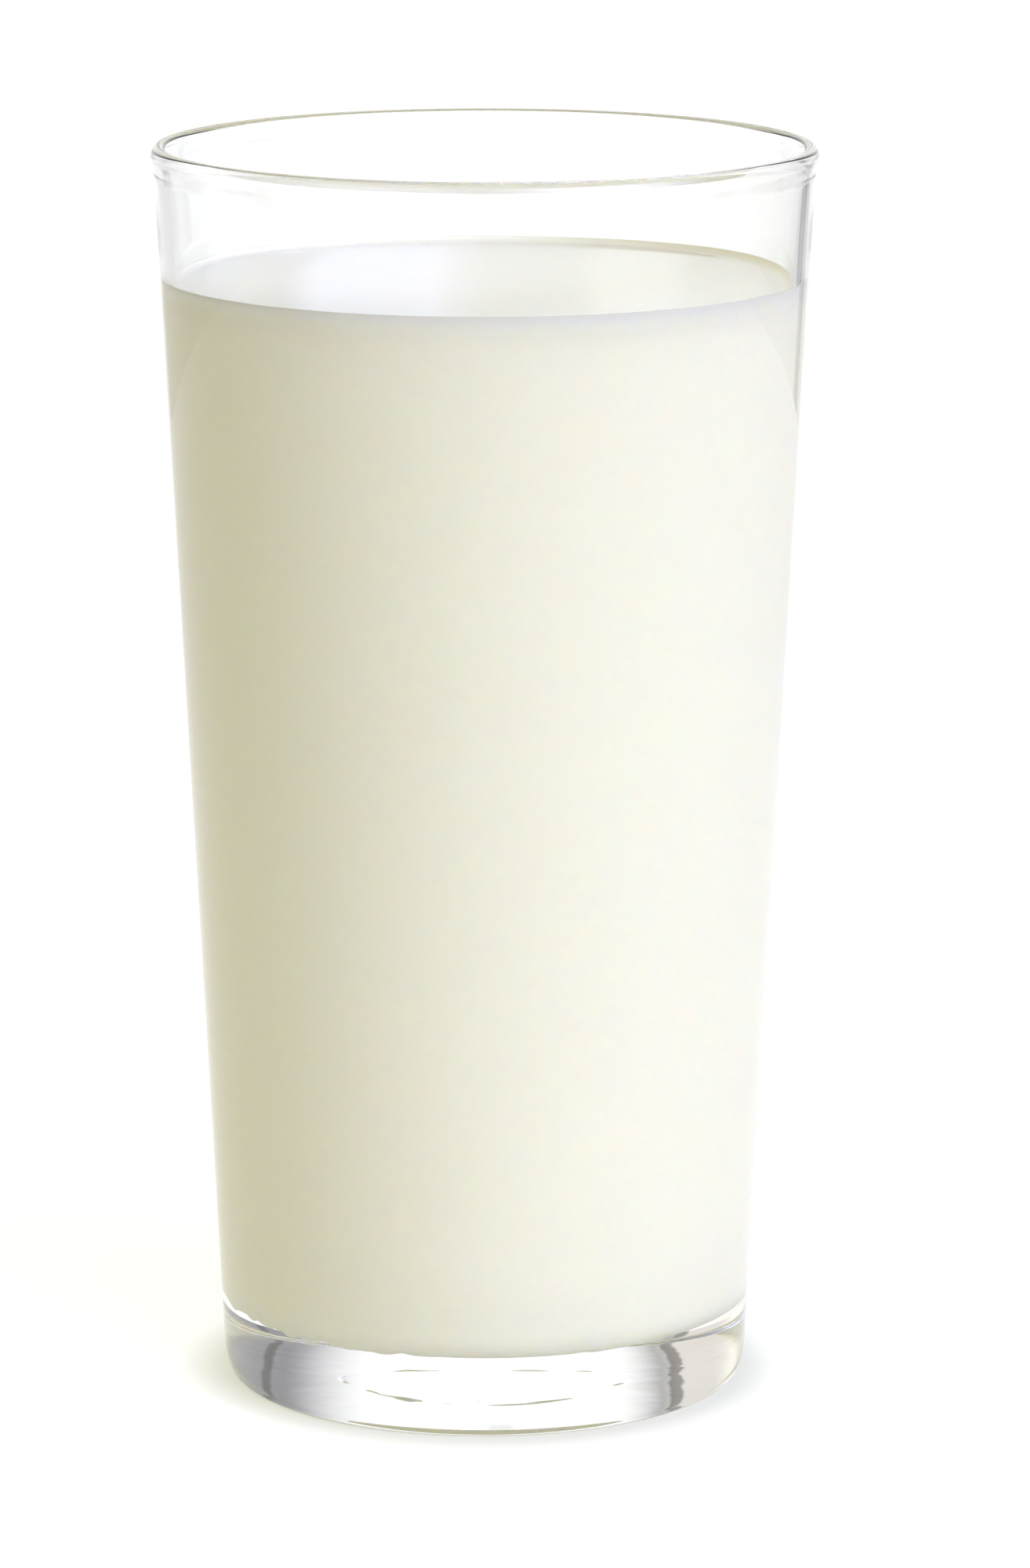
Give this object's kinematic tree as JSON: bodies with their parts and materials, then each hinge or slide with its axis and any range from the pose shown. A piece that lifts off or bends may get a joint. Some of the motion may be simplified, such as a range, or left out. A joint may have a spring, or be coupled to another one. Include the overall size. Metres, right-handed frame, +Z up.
{
  "type": "glass of milk",
  "caption": "Tall tapered clear glass tumbler with a rounded rim and a thick clear base, filled with creamy white milk to just below the rim.",
  "frame": {"origin": "centre of the base, on the surface that the glass stands on", "axes": "+Z up along the glass's own axis; the glass is round, so +X and +Y are any two level directions at right angles"},
  "size_m": [0.07, 0.07, 0.1326],
  "materials": {
    "clear_glass": "clear, polished pressed glass with a fire-polished rim",
    "milk": "opaque creamy white liquid with a soft gloss on its level surface"
  },
  "bodies": {
    "root": {"tumbler": "clear_glass", "milk": "milk"}
  },
  "joints": []
}
